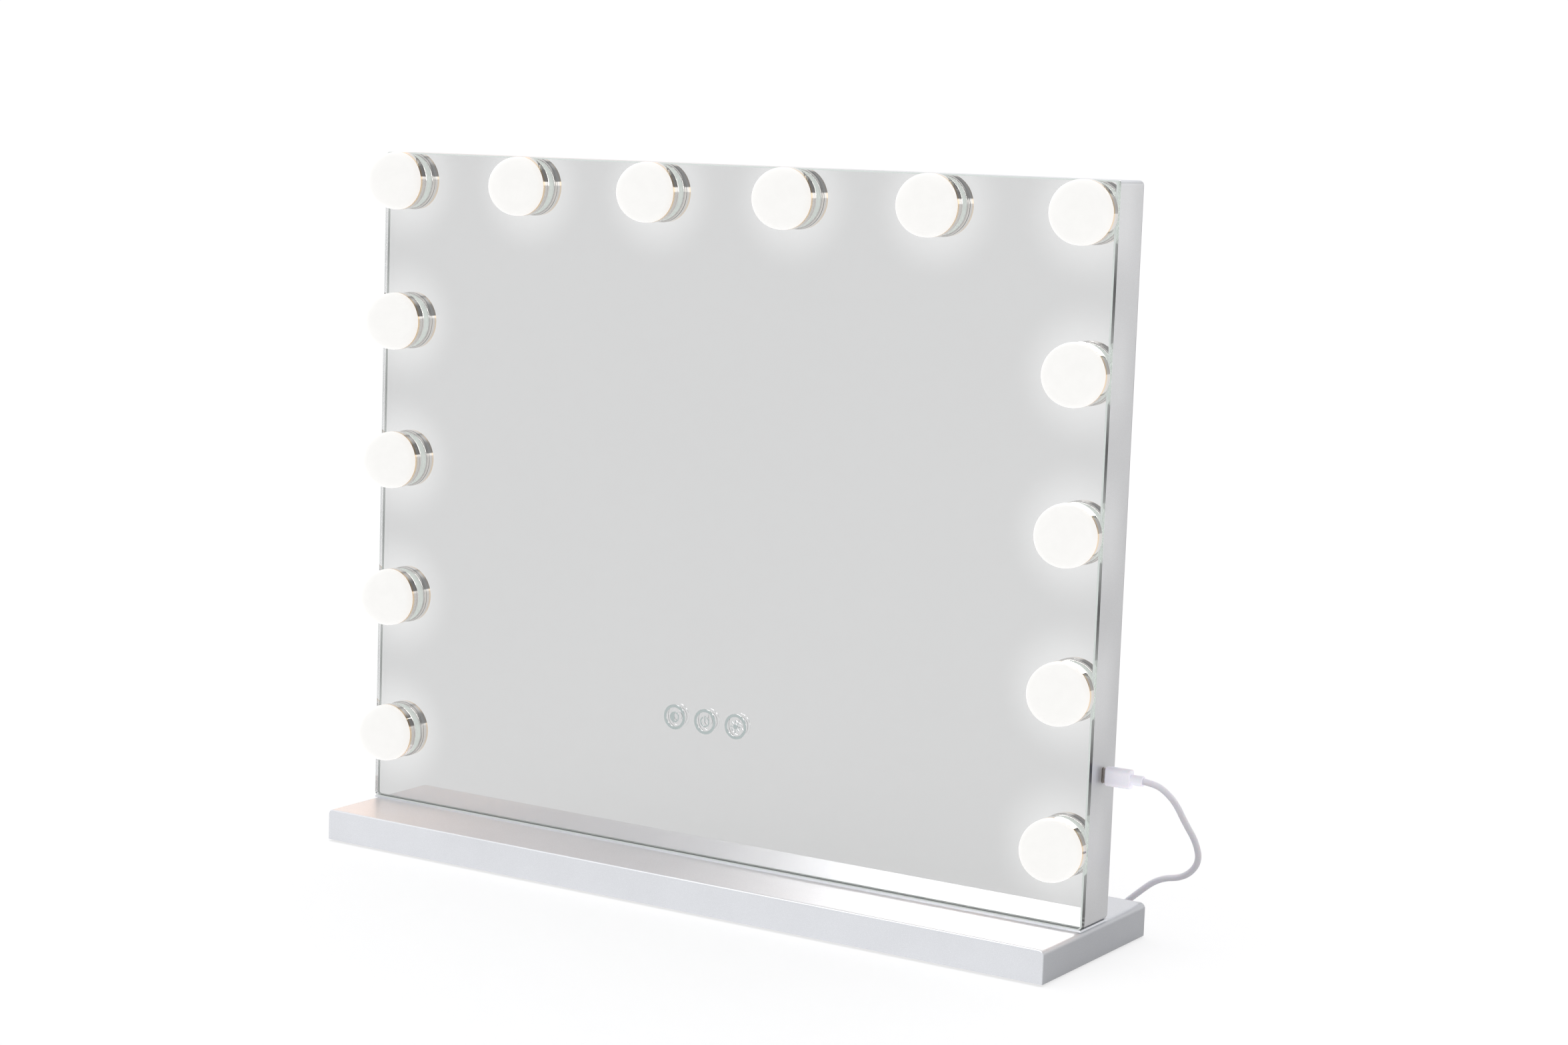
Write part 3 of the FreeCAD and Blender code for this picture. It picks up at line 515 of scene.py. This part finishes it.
def make_sky():
    """Studio with a white horizon, above it bright on the left and dim on the right."""
    world = bpy.data.worlds.new("studio")
    bpy.context.scene.world = world
    world.use_nodes = True
    tree = world.node_tree
    background = tree.nodes["Background"]
    direction = add(tree, "TexCoord").outputs["Generated"]
    rightward = scaled(tree, along_axis(tree, direction, "X"), *RIGHT_SIDE_X, 0.0, 1.0)
    colour = blend_colours(tree, rightward, SKY_LEFT, SKY_RIGHT)
    above_horizon = edge(tree, along_axis(tree, direction, "Z"), *HORIZON_EDGE_Z)
    colour = blend_colours(tree, above_horizon, SKY_LEFT, colour)
    for centre, inner, outer, tint in SKY_PATCHES:
        colour = blend_colours(tree, patch(tree, direction, centre, inner, outer), colour, tint)
    colour = blend_colours(tree, dark_wall(tree, direction), colour, SKY_DARK)
    tree.links.new(colour, background.inputs["Color"])
    background.inputs["Strength"].default_value = 1.0


def receivers(light, names):
    """Lets a light reach the named objects alone."""
    lit = bpy.data.collections.new(light.name + "_lights")
    for name in names:
        lit.objects.link(bpy.data.objects[name])
    light.light_linking.receiver_collection = lit


def make_bulb_glow():
    """Warm light that each lit bulb throws on the stand."""
    for name, node in nodes.items():
        if name.startswith("dome_"):
            low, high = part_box(name)
            data = bpy.data.lights.new(name.replace("dome", "glow"), "POINT")
            data.energy = BULB_GLOW_POWER
            data.color = BULB_GLOW_COLOUR
            data.shadow_soft_size = (high.x - low.x) / 2
            glow = bpy.data.objects.new(data.name, data)
            middle = (low + high) / 2
            glow.location = (middle.x, high.y - BULB_GLOW_DEPTH, middle.z)
            glow.visible_glossy = False
            glow.visible_transmission = False
            bpy.context.scene.collection.objects.link(glow)
            receivers(glow, ("base_shell",))
            node.visible_shadow = False


def make_panel(name, centre, size, turn, colour, radiance, lights):
    """Lamp panel of a size, turned by degrees, that lights the named objects alone."""
    data = bpy.data.lights.new(name, "AREA")
    data.shape = "RECTANGLE"
    data.size, data.size_y = size
    data.color = colour
    data.energy = radiance * math.pi * data.size * data.size_y
    panel = bpy.data.objects.new(name, data)
    panel.location = centre
    panel.rotation_euler = [math.radians(degrees) for degrees in turn]
    panel.visible_camera = False
    bpy.context.scene.collection.objects.link(panel)
    receivers(panel, lights)


def make_panels():
    """Lamps for the stand, the case and the lead; the last three lie low and shine up."""
    white = (1, 1, 1)
    cream = (1, 0.97, 0.91)
    beside = (1.2, 1.0, 0.5)
    beside_size = (1.8, 1.0)
    # the low ones are at three heights, so that they don't lie in one plane
    floor_size = (3.0, 3.0)
    front_size = (2.2, 1.7)
    front_centre = (-0.7, BASE_LOW.y - front_size[1] / 2, 0.001)
    make_panel("softbox", (-0.12, -1.45, 0.75), (1.28, 0.6), TOWARDS_BACK, white, 5.5,
               ("base_shell", "mirror_glass", "silver_coat"))
    make_panel("side_fill", beside, beside_size, TOWARDS_LEFT, cream, 0.82,
               ("rear_case", "usb_cord", "usb_plug_body"))
    make_panel("stand_fill", beside, beside_size, TOWARDS_LEFT, white, 0.38, ("base_shell",))
    make_panel("case_fill", (0, 0, 0.0008), floor_size, UPWARDS, cream, 0.30, ("rear_case",))
    make_panel("floor_fill", (0, 0, 0.0005), floor_size, UPWARDS, white, 0.15,
               ("base_shell", "usb_cord", "usb_plug_body"))
    make_panel("front_fill", front_centre, front_size, UPWARDS, white, 0.39, ("base_shell",))


def make_floor():
    """Pale paper floor that glows a little, which keeps it white out to the horizon."""
    mesh = bpy.data.meshes.new("floor")
    reach = FLOOR_REACH
    corners = [(-reach, -reach, 0), (reach, -reach, 0), (reach, reach, 0), (-reach, reach, 0)]
    mesh.from_pydata(corners, [], [(0, 1, 2, 3)])
    floor = bpy.data.objects.new("floor", mesh)
    bpy.context.scene.collection.objects.link(floor)
    material, tree, surface = new_material("floor_paper", Roughness=0.9,
                                           Specular_IOR_Level=0.0,
                                           Emission_Strength=FLOOR_GLOW)
    surface.inputs["Emission Color"].default_value = grey(1.0)
    fibre = noise(tree, 60.0, 3.0)
    feed(tree, surface, "Base Color", blend_colours(tree, fibre, grey(0.41), grey(0.43)))
    mesh.materials.append(material)
    receivers(floor, [piece.name for piece in bpy.context.scene.objects
                      if piece.type in ("MESH", "CURVE")
                      and piece.name not in OUT_OF_FLOOR_GLOW])


# ---- the lead ----------------------------------------------------------------------------
CORD_D = 0.0036
# the same route as the frame's, in metres: from the plug to the coil
CORD_ROUTE = [
    (0.2745, -0.0020, 0.1060),
    (0.2813, -0.0019, 0.1055),
    (0.2872, -0.0005, 0.1020),
    (0.2918, 0.0036, 0.0952),
    (0.2936, 0.0120, 0.0840),
    (0.2946, 0.0270, 0.0700),
    (0.2905, 0.0430, 0.0545),
    (0.2755, 0.0580, 0.0405),
    (0.2545, 0.0700, 0.0345),
    (0.2370, 0.0795, 0.0205),
    (0.2185, 0.0875, 0.0040),
    (0.1970, 0.0920, 0.0018),
    (0.1770, 0.09145, 0.0018),
]
# and from the coil to the far plug
TAIL_ROUTE = [
    (0.1425, 0.09515, 0.00925),
    (0.1310, 0.0953, 0.0090),
    (0.1190, 0.0966, 0.0066),
    (0.1080, 0.0980, 0.0040),
    (0.0970, 0.0980, 0.0040),
]
COIL_LOW, COIL_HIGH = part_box("cord_coil")
COIL_CENTRE = (COIL_LOW + COIL_HIGH) / 2
COIL_PITCH = 0.0037
COIL_MEAN_R = 0.021
COIL_COLUMNS = 4
POINTS_PER_TURN = 16
# share of a turn after which it eases into the next
EASE_FROM = 0.75


def coil_turns():
    """(radius, height) of each turn's middle line, in the order they are wound."""
    outermost = COIL_MEAN_R + (COIL_COLUMNS - 1) / 2 * COIL_PITCH
    columns = [outermost - i * COIL_PITCH for i in range(COIL_COLUMNS)]
    low = CORD_D / 2
    turns = [(r, low) for r in columns]
    turns += [(r, low + COIL_PITCH) for r in reversed(columns)]
    turns.append((columns[1], low + 2 * COIL_PITCH))
    return turns


def coil_points():
    """Turns wound clockwise from the side next to the stand, each easing into the next."""
    turns = coil_turns()
    points = []
    # the spline cuts inside its points, so they stand a little outside the turn
    outward = 2 / (1 + math.cos(math.pi / POINTS_PER_TURN))
    for i, (radius, height) in enumerate(turns):
        next_radius, next_height = turns[min(i + 1, len(turns) - 1)]
        for step in range(POINTS_PER_TURN):
            part = step / POINTS_PER_TURN
            ease = max(0.0, (part - EASE_FROM) / (1 - EASE_FROM))
            r = (radius + (next_radius - radius) * ease) * outward
            z = height + (next_height - height) * ease
            angle = -math.pi / 2 - 2 * math.pi * part
            points.append((COIL_CENTRE.x + r * math.cos(angle),
                           COIL_CENTRE.y + r * math.sin(angle), z))
    return points


def make_cord(material):
    """The whole lead as one smooth line, with its coil."""
    curve = bpy.data.curves.new("usb_cord", "CURVE")
    curve.dimensions = "3D"
    curve.bevel_depth = CORD_D / 2
    curve.bevel_resolution = 5
    curve.use_fill_caps = True
    curve.resolution_u = 10
    points = CORD_ROUTE + coil_points() + TAIL_ROUTE
    spline = curve.splines.new("NURBS")
    spline.points.add(len(points) - 1)
    for knot, point in zip(spline.points, points):
        knot.co = (*point, 1.0)
    spline.order_u = 3
    spline.use_endpoint_u = True
    curve.materials.append(material)
    cord = bpy.data.objects.new("usb_cord", curve)
    bpy.context.scene.collection.objects.link(cord)
    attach(cord, "lead")
    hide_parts("cord_tube", "cord_coil")


# ---- silvering behind the glass, and the skirt under it ----------------------------------
def make_silvering():
    """Reflecting coat just inside the back of the glass, held in from its edge."""
    inset = 0.0002
    depth = 0.00002
    y = GLASS_HIGH.y - depth
    x = GLASS_HIGH.x - inset
    z0 = GLASS_LOW.z + inset
    z1 = GLASS_HIGH.z - inset
    mesh = bpy.data.meshes.new("silver_coat")
    mesh.from_pydata([(-x, y, z0), (x, y, z0), (x, y, z1), (-x, y, z1)], [], [(0, 1, 2, 3)])
    mesh.materials.append(silvering())
    coat = bpy.data.objects.new("silver_coat", mesh)
    bpy.context.scene.collection.objects.link(coat)
    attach(coat, "mirror")


def make_skirt(material):
    """Silver skirt that closes the gap under the mirror, a little back from its edges."""
    back = 0.0004
    thick = 0.002
    left, front, bottom = GLASS_LOW.x + back, GLASS_LOW.y + back, BASE_HIGH.z
    right, rear, top = GLASS_HIGH.x - back, CASE_BACK_Y - 2 * back, GLASS_LOW.z
    corners = []
    for inset in (0.0, thick):
        for z in (bottom, top):
            corners += [(left + inset, front + inset, z), (right - inset, front + inset, z),
                        (right - inset, rear - inset, z), (left + inset, rear - inset, z)]
    outer_low, outer_high, inner_low, inner_high = range(0, 16, 4)
    faces = []
    for first, second in ((outer_low, outer_high), (outer_high, inner_high),
                          (inner_high, inner_low), (inner_low, outer_low)):
        for i in range(4):
            after = (i + 1) % 4
            faces.append((first + i, first + after, second + after, second + i))
    mesh = bpy.data.meshes.new("stand_skirt")
    mesh.from_pydata(corners, [], faces)
    mesh.materials.append(material)
    skirt = bpy.data.objects.new("stand_skirt", mesh)
    bpy.context.scene.collection.objects.link(skirt)
    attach(skirt, "mirror")


def hide_from_mirror():
    """Leaves the reflections of the domes and the symbols out of the glass."""
    for name, node in nodes.items():
        if name.startswith("dome_") or name == "touch_icons":
            node.visible_glossy = False
            node.visible_transmission = False


bpy.context.scene.view_settings.view_transform = "Standard"
make_camera()
materials = make_materials()
make_cord(materials["white_cord"])
make_sky()
dress(materials)
make_bulb_glow()
make_silvering()
make_skirt(materials["silver_paint"])
make_floor()
make_panels()
hide_from_mirror()
